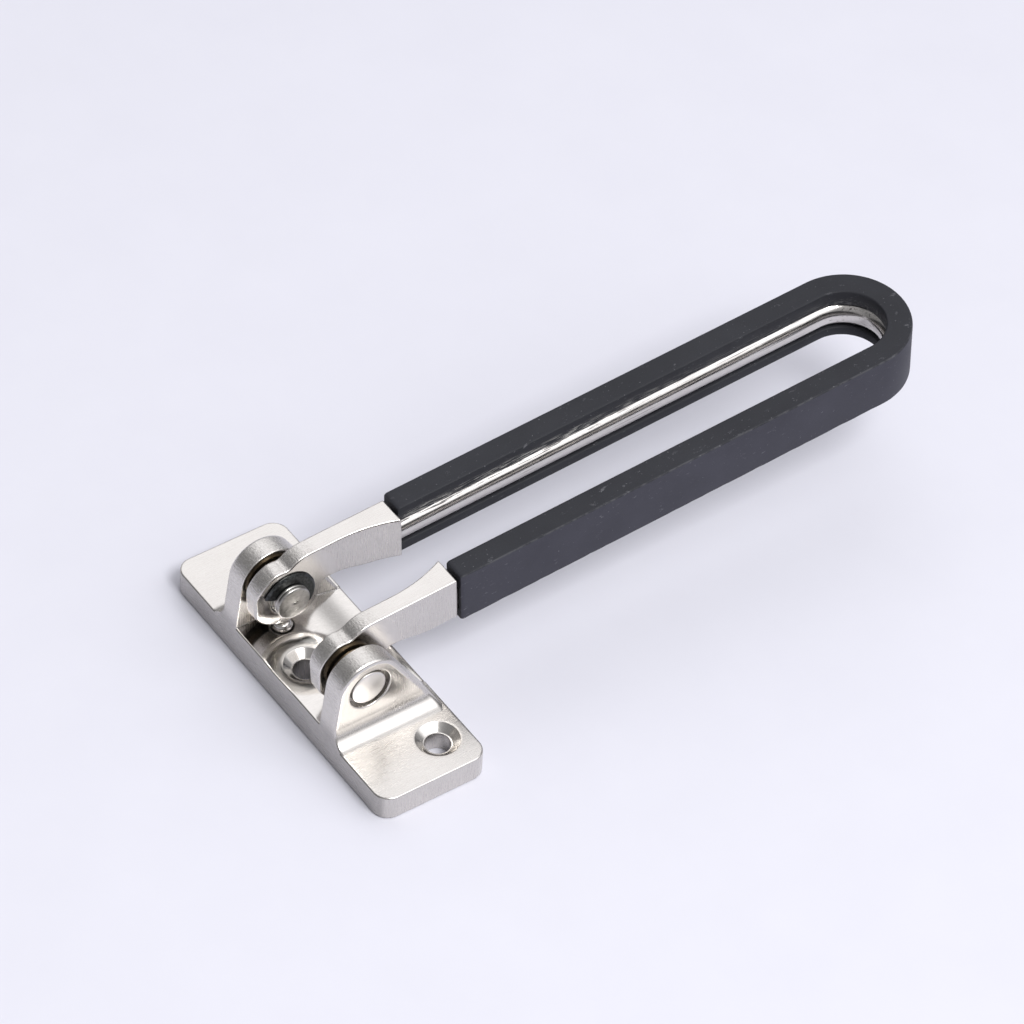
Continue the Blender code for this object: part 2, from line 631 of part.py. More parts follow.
def main():
    clear_scene()
    parts = new_collection("swing_bar_door_guard")
    cutters = new_collection("cutters")
    satin_nickel = new_material("satin_nickel", (0.70, 0.68, 0.66), 0.28, 1.0)
    polished_nickel = new_material("polished_nickel", (0.76, 0.73, 0.70), 0.12, 1.0)
    black_rubber = new_material("black_rubber", (0.040, 0.042, 0.050), 0.62, 0.0)
    black_ring = new_material("blackened_steel", (0.030, 0.031, 0.034), 0.40, 0.6)
    bronze = new_material("bronze", (0.55, 0.42, 0.24), 0.35, 1.0)
    spring_steel = new_material("spring_steel", (0.55, 0.56, 0.58), 0.30, 1.0)

    frame = bpy.data.objects.new("u_bar_frame", None)
    frame.location = (0, PIVOT_Y, PIVOT_Z)
    frame.rotation_euler = (BAR_REST_TILT, 0, 0)
    place(frame, parts)

    build_base_plate(parts, cutters, satin_nickel)
    build_pivot_pieces(parts, polished_nickel, black_ring, bronze)
    build_detents(parts, cutters, polished_nickel, spring_steel)
    build_u_bar(parts, cutters, frame, satin_nickel)
    build_rubber_sleeve(parts, frame, black_rubber)


main()
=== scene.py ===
"""Looks for the swing-bar door guard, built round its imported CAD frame.

The castings are fields of signed distance in millimetres, meshed with their true normals. The
rod and the sleeve are swept, and the small pieces are turned. Every surface has a procedural
material.
"""

import math

import bmesh
import bpy
import numpy as np
from mathutils import Matrix, Vector, noise


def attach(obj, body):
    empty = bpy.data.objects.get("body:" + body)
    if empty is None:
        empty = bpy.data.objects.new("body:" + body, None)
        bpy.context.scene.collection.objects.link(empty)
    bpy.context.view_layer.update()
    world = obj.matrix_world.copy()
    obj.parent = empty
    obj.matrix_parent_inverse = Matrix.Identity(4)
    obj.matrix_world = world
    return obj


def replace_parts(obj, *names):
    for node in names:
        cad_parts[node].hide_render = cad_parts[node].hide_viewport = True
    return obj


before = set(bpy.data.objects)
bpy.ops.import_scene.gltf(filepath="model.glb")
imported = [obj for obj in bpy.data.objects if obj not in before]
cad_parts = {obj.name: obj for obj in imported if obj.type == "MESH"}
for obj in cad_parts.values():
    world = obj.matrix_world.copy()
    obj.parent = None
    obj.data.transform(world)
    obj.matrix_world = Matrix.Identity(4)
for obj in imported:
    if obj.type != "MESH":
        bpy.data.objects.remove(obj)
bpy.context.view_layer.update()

MM = 0.001
SIDES = ((1, "right"), (-1, "left"))

# Base plate, in millimetres
HALF_LENGTH = 40.0
HALF_WIDTH = 13.25
CORNER_RADIUS = 3.8
PAD_Z = 6.0
FLOOR_Z = 7.8
FLOOR_END_Z = 5.7
FLOOR_SLOPE_START = 0.5
EAR_INNER = 15.9
EAR_OUTER = 21.2
EAR_RADIUS = 7.6
EAR_FILLET = 4.2
EAR_BACK_ANGLE = math.radians(90 - 57.7)
PAD_HOLES = (31.0, 6.3)
CENTRE_HOLE_Y = -5.9
PIVOT = (-4.3, 18.2)
PIN_HOLE_RADIUS = 4.2
HEAD_RECESS_RADIUS = 4.95
HEAD_RECESS_FLOOR = 19.0
DETENT_X = 11.7
DETENT_RADIUS = 2.6
DETENT_SOCKET_RADIUS = 3.2
DETENT_SOCKET_TOP = 6.0

# Screw seats and the dish round the middle one, in millimetres
HOLE_RADIUS = 2.8
LEDGE_RADIUS = 3.1
SINK_RADIUS = 4.8
SINK_DEPTH = 1.45
SEAT_LIP_RADIUS = 5.5
SEAT_PROUD = 0.004
SEAT_WALL = 0.1
SEAT_GAP = 0.05
SEAT_FOOT_GAP = 0.04
SEAT_BEVEL = 0.02
SEAT_TAPER = 0.3
SEAT_POCKET_RADIUS = 5.2
SEAT_POCKET_DEPTH = 2.0
SEAT_POCKET_WALL = 0.15
SEAT_POCKET_RISE = 1.5
DISH_RADIUS = 7.6
DISH_DEPTH = 0.6
DISH_SLOPE = DISH_DEPTH / (DISH_RADIUS - SINK_RADIUS)

# How far the plate's cuts run past its surface, and how wide each edge blends, in millimetres
CUT_RISE = 1.0
CUT_MARGIN = 2.0
EAR_RIM_BLEND = 1.1
OUTLINE_BLEND = 0.55
SPACE_CORNER_BLEND = 0.3
SPACE_EDGE_BLEND = 0.45
DISH_BLEND = 0.45
PIN_BORE_BLEND = 0.3
DETENT_BLEND = 0.2
FOOT_BLEND = 0.4

# Bar, in millimetres, in its own frame: x across, u along, w square to both
REST_TILT = math.radians(3.2)
BEND_U = 136.3
BEND_RADIUS = 11.6
EYE_RADIUS = 8.2
EYE_FLAT = 7.7
EYE_TOP_SLOPE = 0.21
NOTCH_U, NOTCH_W = 0.4, 7.5
NOTCH_FILLET_LOW, NOTCH_FILLET_HIGH = 2.0, 0.7
NOTCH_FILLET_RUN = (1.0, 5.0)
ARM_OUTER = 13.86
ARM_INNER = 9.6
ARM_TOP = 9.6
ARM_START = 0.2
ARM_END = 26.6
BELLY_W = -0.1
BELLY_DROP = 1.4
BELLY_RUN = (11.1, 20.0)
SHOULDER_INNER = 6.8
SHOULDER_START = 13.0
RELIEF_DEPTH = 0.9
RELIEF_SIDE = (0.75, 0.66)
RELIEF_RUN = (0.1, 0.8)
RELIEF_REACH = (4.6, 9.6)

# How wide each of the arm's edges blends, in millimetres
EYE_FLAT_BLEND = 0.4
EYE_TOP_BLEND = 0.6
ARM_RISE_BLEND = 2.4
ARM_OUTER_BLEND = 0.55
ARM_INNER_BLEND = 0.45
ARM_END_BLEND = 0.3
EYE_INNER_BLEND = 0.6
EYE_BLEND_REACH = (7.0, 11.0)

# Rod, in millimetres
ROD_CENTRE = (BEND_RADIUS, 3.2)
ROD_RADIUS = 3.4
ROD_FLAT_X = 13.3
ROD_START = 24.0

# Sleeve, in millimetres
SLEEVE_START = 27.2
SLEEVE_STEPS = 110
SLEEVE_INNER, SLEEVE_OUTER = 8.84, 14.41
SLEEVE_TOP, SLEEVE_BOTTOM = 10.65, -2.6
SLEEVE_CORNER = 0.4
SLEEVE_MIDDLE_W = 4.0
CHANNEL_RADIUS = 3.7
CHANNEL_FLAT_X = 13.6
MOUTH_HALF = 3.4
LIP_LOW, LIP_HIGH = -0.2, 6.6
LIP_CHAMFER = 0.25
END_ROWS = (0.0, 0.12, 0.35, 0.7)
END_NARROWING = 0.06
END_FLATTENING = 0.04
WEAR = 0.22
WORN_EDGE_W = -2.1
WORN_LIP_X = 9.3
WORN_LIP_W = (6.0, 7.2)

# Small pieces: millimetres along the pivot axis, and degrees round it
PIN_HEAD_RADIUS = 4.1
PIN_HEAD_RIM_Z = 20.84
PIN_HEAD_DOME = 0.28
PIN_HEAD_STEPS = 12
SNAP_RING_START, SNAP_RING_END = -32, 158

# Rounding of the turned profiles, in millimetres, and its most as a share of a neighbouring run
SEAT_EDGE = 0.07
PIN_EDGE = 0.22
WASHER_EDGE = 0.15
MOST_CORNER_SHARE = 0.45

# Meshing: grids in millimetres, the share of faces kept, and how many steps a point may move
PLATE_LOW, PLATE_HIGH = (-40.6, -13.85, -0.6), (40.6, 13.85, 26.4)
PLATE_KEEP = 0.6
ARM_LOW, ARM_HIGH = (6.2, -8.2, -8.8), (14.4, 27.2, 10.2)
ARM_KEEP = 0.5
GRID_STEP = 0.25
NET_PULL = 0.6
THINNED_PULL = 0.3
LEAST_STEEPNESS = 0.2
TINY = 1e-9


def smooth_min(a, b, size):
    blend = np.maximum(size - np.abs(a - b), 0) / size
    return np.minimum(a, b) - blend * blend * size / 4


def smooth_max(a, b, size):
    return -smooth_min(-a, -b, size)


def round_union(a, b, radius):
    """Joins two fields with a true hollow fillet."""
    corner = np.hypot(np.maximum(radius - a, 0), np.maximum(radius - b, 0))
    return np.maximum(radius, np.minimum(a, b)) - corner


def ease(value, start, end):
    """0 before start, 1 after end, smooth between them."""
    share = np.clip((value - start) / (end - start), 0, 1)
    return (1 - np.cos(math.pi * share)) / 2


def ear_outline(y, z):
    """Distance to the ears' side outline: a round with two lines that touch it."""
    reach_y, reach_z = -HALF_WIDTH - PIVOT[0], FLOOR_Z - PIVOT[1]
    lean = math.atan2(reach_z, reach_y) - math.acos(EAR_RADIUS / math.hypot(reach_y, reach_z))
    back = (math.cos(EAR_BACK_ANGLE), math.sin(EAR_BACK_ANGLE))
    front = (math.cos(lean), math.sin(lean))
    middle = np.array(back) + np.array(front)
    middle /= np.linalg.norm(middle)
    dy, dz = y - PIVOT[0], z - PIVOT[1]
    back_line = dy * back[0] + dz * back[1] - EAR_RADIUS
    front_line = dy * front[0] + dz * front[1] - EAR_RADIUS
    chord = dy * middle[0] + dz * middle[1] - EAR_RADIUS * float(np.dot(middle, back))
    wedge = np.maximum(np.maximum(back_line, front_line), chord)
    return np.minimum(np.hypot(dy, dz) - EAR_RADIUS, wedge)


def screw_pocket(reach, z, surface):
    """What a screw seat's stepped hole takes away; reach is the distance from its axis."""
    pocket = np.maximum(reach - SEAT_POCKET_RADIUS, surface - SEAT_POCKET_DEPTH - z)
    bore = reach - HOLE_RADIUS - SEAT_POCKET_WALL
    return np.maximum(np.minimum(pocket, bore), z - surface - SEAT_POCKET_RISE)


def base_plate_field(x, y, z):
    """The casting with two ears, its stepped screw holes, pin bores, detent bores and dish."""
    s = np.abs(x)
    qx, qy = s - (HALF_LENGTH - CORNER_RADIUS), np.abs(y) - (HALF_WIDTH - CORNER_RADIUS)
    plan = np.hypot(np.maximum(qx, 0), np.maximum(qy, 0)) + np.minimum(np.maximum(qx, qy), 0)
    plan -= CORNER_RADIUS
    sides = round_union(z - PAD_Z, s - EAR_OUTER, EAR_FILLET)
    ears = smooth_max(sides, ear_outline(y, z), EAR_RIM_BLEND)
    body = smooth_max(np.minimum(ears, z - PAD_Z), plan, OUTLINE_BLEND)

    floor = FLOOR_Z - (FLOOR_Z - FLOOR_END_Z) * ease(y, FLOOR_SLOPE_START, HALF_WIDTH)
    space = smooth_max(s - EAR_INNER, floor - z, SPACE_CORNER_BLEND)
    body = smooth_max(body, -space, SPACE_EDGE_BLEND)

    above_floor = z - FLOOR_Z - CUT_RISE
    centre_reach = np.hypot(x, y - CENTRE_HOLE_Y)
    dish_floor = FLOOR_Z - DISH_DEPTH + (centre_reach - SINK_RADIUS) * DISH_SLOPE
    body = smooth_max(body, -np.maximum(above_floor, dish_floor - z), DISH_BLEND)
    body = np.maximum(body, -screw_pocket(centre_reach, z, FLOOR_Z - DISH_DEPTH))
    pad_reach = np.hypot(s - PAD_HOLES[0], y - PAD_HOLES[1])
    body = np.maximum(body, -screw_pocket(pad_reach, z, PAD_Z))

    pin_reach = np.hypot(y - PIVOT[0], z - PIVOT[1])
    head_recess = np.maximum(pin_reach - HEAD_RECESS_RADIUS, HEAD_RECESS_FLOOR - s)
    pin_hole = np.minimum(pin_reach - PIN_HOLE_RADIUS, head_recess)
    body = smooth_max(body, -np.maximum(pin_hole, EAR_INNER - CUT_MARGIN - s), PIN_BORE_BLEND)

    detent_reach = np.hypot(s - DETENT_X, y - PIVOT[0])
    socket = np.maximum(detent_reach - DETENT_SOCKET_RADIUS, z - DETENT_SOCKET_TOP)
    detent = np.minimum(detent_reach - DETENT_RADIUS, socket)
    body = smooth_max(body, -np.maximum(detent, above_floor), DETENT_BLEND)
    return smooth_max(body, -z, FOOT_BLEND)


def arm_field(x, u, w):
    """One eye and its arm, on the +x side."""
    reach = np.hypot(u, w)
    past_notch, above_notch = u - NOTCH_U, w - NOTCH_W
    eye = smooth_max(reach - EYE_RADIUS, -EYE_FLAT - u, EYE_FLAT_BLEND)
    eye = smooth_max(eye, above_notch + EYE_TOP_SLOPE * past_notch, EYE_TOP_BLEND)
    belly = BELLY_W - BELLY_DROP * ease(u, *BELLY_RUN)
    top = smooth_max(w - ARM_TOP, (above_notch - past_notch) / math.sqrt(2), ARM_RISE_BLEND)
    arm = np.maximum(top, np.maximum(belly - w, ARM_START - u))
    fillet_drop = NOTCH_FILLET_LOW - NOTCH_FILLET_HIGH
    side = round_union(eye, arm, NOTCH_FILLET_LOW - fillet_drop * ease(w, *NOTCH_FILLET_RUN))

    run, rise = ARM_END - SHOULDER_START, ARM_INNER - SHOULDER_INNER
    radius = (run * run + rise * rise) / (2 * rise)
    along = np.clip(u - SHOULDER_START, 0, None)
    inner = ARM_INNER - radius + np.sqrt(radius * radius - along * along)
    forward = -(RELIEF_SIDE[0] * u + RELIEF_SIDE[1] * w) / np.maximum(reach, 1)
    inner = inner + RELIEF_DEPTH * ease(forward, *RELIEF_RUN) * ease(reach, *RELIEF_REACH)

    body = smooth_max(side, x - ARM_OUTER, ARM_OUTER_BLEND)
    near_eye = 1 - ease(reach, *EYE_BLEND_REACH)
    by_eye = smooth_max(body, inner - x, EYE_INNER_BLEND)
    by_arm = smooth_max(body, inner - x, ARM_INNER_BLEND)
    body = by_eye * near_eye + by_arm * (1 - near_eye)
    body = smooth_max(body, u - ARM_END, ARM_END_BLEND)
    return smooth_max(body, PIN_HOLE_RADIUS - reach, PIN_BORE_BLEND)


def gradient(field, points, reach=0.02):
    """The field's slope at each point, from values a small reach to either side."""
    slopes = []
    for axis in range(3):
        shift = np.zeros(3)
        shift[axis] = reach
        ahead, behind = points + shift, points - shift
        slopes.append((field(*ahead.T) - field(*behind.T)) / (2 * reach))
    return np.stack(slopes, axis=1)


def pulled_to_surface(field, points, most, rounds=3):
    """Moves points down the field's slope onto the surface, each by no more than most."""
    start = points.copy()
    for _ in range(rounds):
        slope = gradient(field, points)
        steep = np.maximum((slope * slope).sum(axis=1), LEAST_STEEPNESS)
        moved = points - slope * (field(*points.T) / steep)[:, None] - start
        length = np.maximum(np.linalg.norm(moved, axis=1), TINY)
        points = start + moved * np.minimum(1, most / length)[:, None]
    return points


def surface_net(field, low, high, step):
    """Vertices and four-sided faces of the field's zero surface on a regular grid."""
    low = np.array(low, float)
    counts = np.ceil((np.array(high) - low) / step).astype(int) + 1
    axes = [low[i] + step * np.arange(counts[i]) for i in range(3)]
    value = field(*np.meshgrid(*axes, indexing="ij"))
    inside = value < 0
    spans = [slice(0, -1), slice(1, None)]
    corners = [(i, j, k) for i in (0, 1) for j in (0, 1) for k in (0, 1)]
    total = sum(inside[spans[i], spans[j], spans[k]].astype(np.int8) for i, j, k in corners)
    cells = np.argwhere((total > 0) & (total < 8))
    number = np.full(total.shape, -1, np.int64)
    number[tuple(cells.T)] = np.arange(len(cells))
    place, hits = np.zeros((len(cells), 3)), np.zeros(len(cells))
    for first in corners:
        for axis in range(3):
            if first[axis]:
                continue
            second = list(first)
            second[axis] = 1
            a = value[tuple((cells + first).T)]
            b = value[tuple((cells + second).T)]
            cross = (a < 0) != (b < 0)
            share = np.where(cross, a / np.where(cross, a - b, 1), 0)
            spot = np.tile(np.array(first, float), (len(cells), 1))
            spot[:, axis] += share
            place += np.where(cross[:, None], spot, 0)
            hits += cross
    points = low + step * (cells + place / hits[:, None])
    faces = []
    for axis in range(3):
        one, two = (axis + 1) % 3, (axis + 2) % 3
        ahead = [slice(None)] * 3
        ahead[axis] = slice(1, None)
        here = [slice(None)] * 3
        here[axis] = slice(0, -1)
        change = inside[tuple(here)].astype(np.int8) - inside[tuple(ahead)].astype(np.int8)
        edges = np.argwhere(change != 0)
        sign = change[tuple(edges.T)]
        around = []
        for back_one, back_two in ((1, 1), (0, 1), (0, 0), (1, 0)):
            cell = edges.copy()
            cell[:, one] -= back_one
            cell[:, two] -= back_two
            around.append(number[tuple(cell.T)])
        quad = np.stack(around, axis=1)
        quad[sign < 0] = quad[sign < 0][:, ::-1]
        faces.append(quad)
    return points, np.concatenate(faces)


def link(obj):
    bpy.context.scene.collection.objects.link(obj)
    return obj


def mesh_object(name, points, faces):
    mesh = bpy.data.meshes.new(name)
    mesh.from_pydata(points, [], faces)
    return link(bpy.data.objects.new(name, mesh))


def applied(obj):
    """Bakes the object's modifiers into its mesh."""
    bpy.context.view_layer.update()
    graph = bpy.context.evaluated_depsgraph_get()
    mesh = bpy.data.meshes.new_from_object(obj.evaluated_get(graph))
    obj.modifiers.clear()
    obj.data = mesh
    return obj


def field_object(name, field, low, high, step, keep, mirrored=False):
    """A casting meshed from its field, thinned out, and shaded with the field's own slope."""
    points, faces = surface_net(field, low, high, step)
    points = pulled_to_surface(field, points, NET_PULL * step)
    obj = mesh_object(name, points, faces.tolist())
    thin = obj.modifiers.new("Thin out", "DECIMATE")
    thin.ratio = keep
    applied(obj)
    count = len(obj.data.vertices)
    points = np.empty(count * 3)
    obj.data.vertices.foreach_get("co", points)
    points = pulled_to_surface(field, points.reshape(-1, 3), THINNED_PULL * step)
    normals = gradient(field, points)
    normals /= np.maximum(np.linalg.norm(normals, axis=1), TINY)[:, None]
    if mirrored:
        points[:, 0] *= -1
        normals[:, 0] *= -1
        obj.data.flip_normals()
    obj.data.vertices.foreach_set("co", (points * MM).ravel())
    obj.data.update()
    obj.data.shade_smooth()
    obj.data.normals_split_custom_set_from_vertices(normals.tolist())
    return obj


def arc(centre, radius, start, end, steps):
    """Points along an arc, from one angle in radians to another."""
    angles = (start + (end - start) * i / steps for i in range(steps + 1))
    return [(centre[0] + radius * math.cos(a), centre[1] + radius * math.sin(a)) for a in angles]


def finished_mesh(obj, crease):
    """Turns the faces outwards and shades them smooth, apart from edges over crease degrees."""
    shape = bmesh.new()
    shape.from_mesh(obj.data)
    bmesh.ops.recalc_face_normals(shape, faces=shape.faces)
    shape.to_mesh(obj.data)
    shape.free()
    obj.data.shade_smooth()
    obj.data.set_sharp_from_angle(angle=math.radians(crease))
    return obj


def side_faces(rows, size):
    """Four-sided faces between neighbouring rows of a closed section of size points."""
    faces = []
    for row in range(rows - 1):
        here, ahead = row * size, (row + 1) * size
        for i in range(size):
            j = (i + 1) % size
            faces.append((here + i, here + j, ahead + j, ahead + i))
    return faces


def end_faces(rows, size):
    return [tuple(range(size)), tuple((rows - 1) * size + i for i in range(size))]


def stations(start, straight_steps, bend_steps):
    """(side, sine, u) places along the U for a swept section, closer together at its ends."""
    runs = [start + offset for offset in END_ROWS]
    runs += [start + (BEND_U - start) * i / straight_steps for i in range(1, straight_steps)]
    bend = [math.pi * i / bend_steps for i in range(bend_steps + 1)]
    return (
        [(1.0, 0.0, u) for u in runs]
        + [(math.cos(a), math.sin(a), BEND_U) for a in bend]
        + [(-1.0, 0.0, u) for u in reversed(runs)]
    )


def swept(name, section, start, straight_steps=1, bend_steps=64, shift=None):
    """A closed (x, w) section carried round the U; shift(x, w, travel, left) may move a point."""
    places = stations(start, straight_steps, bend_steps)
    whole = 2 * (BEND_U - start) + BEND_RADIUS * math.pi
    points = []
    travel, last = 0.0, None
    for side, sine, u in places:
        here = (BEND_RADIUS * side, u + BEND_RADIUS * sine)
        travel += math.dist(here, last) if last else 0.0
        last = here
        for x, w in section:
            if shift:
                x, w = shift(x, w, travel, whole - travel)
            points.append((x * side * MM, (u + x * sine) * MM, w * MM))
    rows, size = len(places), len(section)
    faces = side_faces(rows, size) + end_faces(rows, size)
    return finished_mesh(mesh_object(name, points, faces), 50)


def turned(name, profile, steps=96, crease=40):
    """A body turned about Z from an (r, z) profile that runs from top to bottom."""
    points = [(r * MM, 0, z * MM) for r, z in profile]
    mesh = bpy.data.meshes.new(name)
    mesh.from_pydata(points, [(i, i + 1) for i in range(len(profile) - 1)], [])
    obj = link(bpy.data.objects.new(name, mesh))
    screw = obj.modifiers.new("Turn", "SCREW")
    screw.steps = screw.render_steps = steps
    screw.use_merge_vertices = True
    screw.merge_threshold = 1e-6
    return finished_mesh(applied(obj), crease)


def softened(profile, size, steps=3):
    """The profile with each of its corners rounded off by about size."""
    result = [profile[0]]
    for before, at, after in zip(profile, profile[1:], profile[2:]):
        a, b, c = Vector(before), Vector(at), Vector(after)
        cut = min(size, (a - b).length * MOST_CORNER_SHARE, (c - b).length * MOST_CORNER_SHARE)
        one, two = b + (a - b).normalized() * cut, b + (c - b).normalized() * cut
        for i in range(steps + 1):
            t = i / steps
            result.append(tuple(one.lerp(b, t).lerp(b.lerp(two, t), t)))
    result.append(profile[-1])
    return result


# Materials


class Nodes:
    """Short calls that add nodes to one tree; each gives the new node's output."""

    def __init__(self, tree):
        self.tree = tree

    def connect(self, source, target):
        self.tree.links.new(source, target)

    def put(self, value, target):
        if isinstance(value, bpy.types.NodeSocket):
            self.connect(value, target)
        else:
            target.default_value = value

    def math(self, operation, a, b=0.0, c=0.0, clamp=False):
        node = self.tree.nodes.new("ShaderNodeMath")
        node.operation = operation
        node.use_clamp = clamp
        for value, target in zip((a, b, c), node.inputs):
            self.put(value, target)
        return node.outputs[0]

    def add(self, a, b):
        return self.math("ADD", a, b)

    def minus(self, a, b):
        return self.math("SUBTRACT", a, b)

    def times(self, a, b):
        return self.math("MULTIPLY", a, b)

    def times_add(self, a, b, c, clamp=False):
        return self.math("MULTIPLY_ADD", a, b, c, clamp)

    def reach(self, a, b):
        """The length of the two numbers as sides of a right angle."""
        return self.math("SQRT", self.add(self.times(a, a), self.times(b, b)))

    def scaled(self, vector, scale):
        node = self.tree.nodes.new("ShaderNodeVectorMath")
        node.operation = "MULTIPLY"
        self.put(vector, node.inputs[0])
        node.inputs[1].default_value = scale
        return node.outputs[0]

    def split(self, vector):
        node = self.tree.nodes.new("ShaderNodeSeparateXYZ")
        self.put(vector, node.inputs[0])
        return node.outputs

    def noise(self, vector, scale, detail=2.0, rough=0.5):
        node = self.tree.nodes.new("ShaderNodeTexNoise")
        self.put(vector, node.inputs["Vector"])
        node.inputs["Scale"].default_value = scale
        node.inputs["Detail"].default_value = detail
        node.inputs["Roughness"].default_value = rough
        return node.outputs["Fac"]

    def ramp(self, value, *stops):
        """A colour for the value, from (position, colour) stops."""
        node = self.tree.nodes.new("ShaderNodeValToRGB")
        self.put(value, node.inputs[0])
        ramp = node.color_ramp
        while len(ramp.elements) < len(stops):
            ramp.elements.new(0.5)
        for element, (position, colour) in zip(ramp.elements, stops):
            element.position = position
            element.color = (*colour, 1.0)
        return node.outputs[0]

    def step(self, value, start, end, low=0.0, high=1.0):
        """A smooth change from low, before start, to high, after end."""
        node = self.tree.nodes.new("ShaderNodeMapRange")
        node.interpolation_type = "SMOOTHSTEP"
        for number, target in zip((start, end, low, high), list(node.inputs)[1:5]):
            target.default_value = number
        self.put(value, node.inputs[0])
        return node.outputs[0]

    def mix(self, share, one, two):
        node = self.tree.nodes.new("ShaderNodeMix")
        node.data_type = "RGBA"
        self.put(share, node.inputs["Factor"])
        for value, target in ((one, node.inputs["A"]), (two, node.inputs["B"])):
            sockets = [s for s in node.inputs if s.name == target.name and s.type == "RGBA"]
            self.put((*value, 1.0) if isinstance(value, tuple) else value, sockets[0])
        return [s for s in node.outputs if s.type == "RGBA"][0]

class Shader(Nodes):
    """A node material on the Principled shader."""

    def __init__(self, name, roughness, metallic=0.0):
        self.material = bpy.data.materials.new(name)
        self.material.use_nodes = True
        super().__init__(self.material.node_tree)
        self.principled = self.tree.nodes["Principled BSDF"]
        self.principled.inputs["Roughness"].default_value = roughness
        self.principled.inputs["Metallic"].default_value = metallic
        coordinates = self.tree.nodes.new("ShaderNodeTexCoord")
        self.place = coordinates.outputs["Object"]
        self.normal = coordinates.outputs["Normal"]

    def bump(self, height, distance, strength):
        node = self.tree.nodes.new("ShaderNodeBump")
        node.inputs["Distance"].default_value = distance
        node.inputs["Strength"].default_value = strength
        self.put(height, node.inputs["Height"])
        self.connect(node.outputs[0], self.principled.inputs["Normal"])

    def colour(self, value):
        self.put(value, self.principled.inputs["Base Color"])

    def roughness(self, value):
        self.put(value, self.principled.inputs["Roughness"])

    def spread(self, scale, detail, rough):
        """Noise with its own scale along each of the object's axes."""
        return self.noise(self.scaled(self.place, scale), 1.0, detail, rough)

    def facing(self):
        """How far the surface faces along each of the object's axes, as three numbers."""
        return [self.math("ABSOLUTE", part) for part in self.split(self.normal)]


NICKEL = (0.72, 0.695, 0.665)
NICKEL_BRIGHT = (0.70, 0.675, 0.65)
NICKEL_DARK = (0.58, 0.555, 0.525)
# Painted shade: darker tones for the plate's front face, for the shadowed floor it reflects.
SHADED_FRONT_DARK, SHADED_FRONT_LIGHT = (0.36, 0.345, 0.33), (0.50, 0.48, 0.465)
FINE_BUMP = 0.00002


def brushed(shader, fine, long, directions):
    """Fine brush lines whose direction depends on which way the surface faces."""
    lines = [shader.spread(scale(fine, long), 3.0, 0.6) for scale in directions]
    x, y, _ = shader.facing()
    mixed = shader.mix(shader.step(x, 0.55, 0.85), lines[2], lines[0])
    return shader.mix(shader.step(y, 0.55, 0.85), mixed, lines[1])


def along_x(fine, long):
    return (long, fine, fine)


def along_y(fine, long):
    return (fine, long, fine)


def along_z(fine, long):
    return (fine, fine, long)


def satin_nickel(name, pivot, grain_reach, plate=False):
    """Brushed nickel, with a coarse blasted grain on the round rims about the pivot."""
    shader = Shader(name, 0.3, 1.0)
    lines = brushed(shader, 5600.0, 260.0, (along_z, along_x, along_y))
    grain = shader.noise(shader.place, 2600.0, 3.0, 0.65)
    cloud = shader.noise(shader.place, 90.0, 3.0, 0.6)
    _, y, z = shader.split(shader.place)
    sideways = shader.facing()[0]

    reach = shader.reach(shader.minus(y, pivot[0] * MM), shader.minus(z, pivot[1] * MM))
    near = shader.step(reach, (grain_reach - 1.5) * MM, grain_reach * MM, 1.0, 0.0)
    rim = shader.times(near, shader.step(sideways, 0.35, 0.65, 1.0, 0.0))
    coarse = shader.spread((1500.0, 3000.0, 3000.0), 3.0, 0.65)
    coarse = shader.times(shader.minus(coarse, 0.5), rim)

    tone = shader.add(shader.times(lines, 0.42), shader.times(grain, 0.3))
    tone = shader.add(tone, shader.times(cloud, 0.28))
    tone = shader.times_add(coarse, 1.2, tone)
    metal = shader.ramp(tone, (0.30, NICKEL_DARK), (0.72, NICKEL))
    rubbed = shader.times(near, shader.step(sideways, 0.75, 0.92))
    rough = shader.times_add(lines, 0.13, 0.215)
    rough = shader.times(rough, shader.times_add(rubbed, -0.35, 1.0))
    height = shader.add(lines, shader.times(grain, 0.5))
    height = shader.times_add(coarse, 11.0, height)
    if plate:
        # Painted shade on the front face, for the shadowed floor it reflects.
        metal = painted_front_shade(shader, tone, metal)
        rough, height = polished_floor(shader, rough, height)
    shader.colour(metal)
    shader.roughness(rough)
    shader.bump(height, FINE_BUMP, 0.5)
    return shader.material


def painted_front_shade(shader, tone, metal):
    """Painted shade: a darker metal on the plate's long front face and the foot of the ears'
    fronts, for the shadowed floor they reflect.
    """
    z = shader.split(shader.place)[2]
    front = shader.step(shader.split(shader.normal)[1], -0.9, -0.6, 1.0, 0.0)
    painted_shade = shader.times(front, shader.step(z, 7.5 * MM, 12.0 * MM, 1.0, 0.0))
    return shader.mix(painted_shade, metal, shader.ramp(tone, (0.30, SHADED_FRONT_DARK), (0.72, SHADED_FRONT_LIGHT)))


def polished_floor(shader, rough, height):
    """A smoother floor between the ears, and half as smooth cones in the screw seats."""
    x, _, z = shader.split(shader.place)
    up = shader.step(shader.split(shader.normal)[2], 0.3, 0.6)
    side = shader.math("ABSOLUTE", x)
    between = shader.step(side, (EAR_INNER - 0.3) * MM, (EAR_INNER + 0.1) * MM, 1.0, 0.0)
    low = shader.step(z, (FLOOR_Z + 0.4) * MM, (FLOOR_Z + 1.2) * MM, 1.0, 0.0)
    smooth = shader.times(shader.times(between, low), up)
    under_pad = shader.step(z, (PAD_Z - 0.1) * MM, (PAD_Z - 0.03) * MM, 1.0, 0.0)
    cones = shader.times(shader.minus(1.0, between), under_pad)
    smooth = shader.times_add(shader.times(cones, up), 0.4, smooth)
    keep = shader.minus(1.0, shader.times(smooth, 0.85))
    rough = shader.add(shader.times(rough, keep), shader.times(smooth, 0.10))
    return rough, shader.times(height, keep)


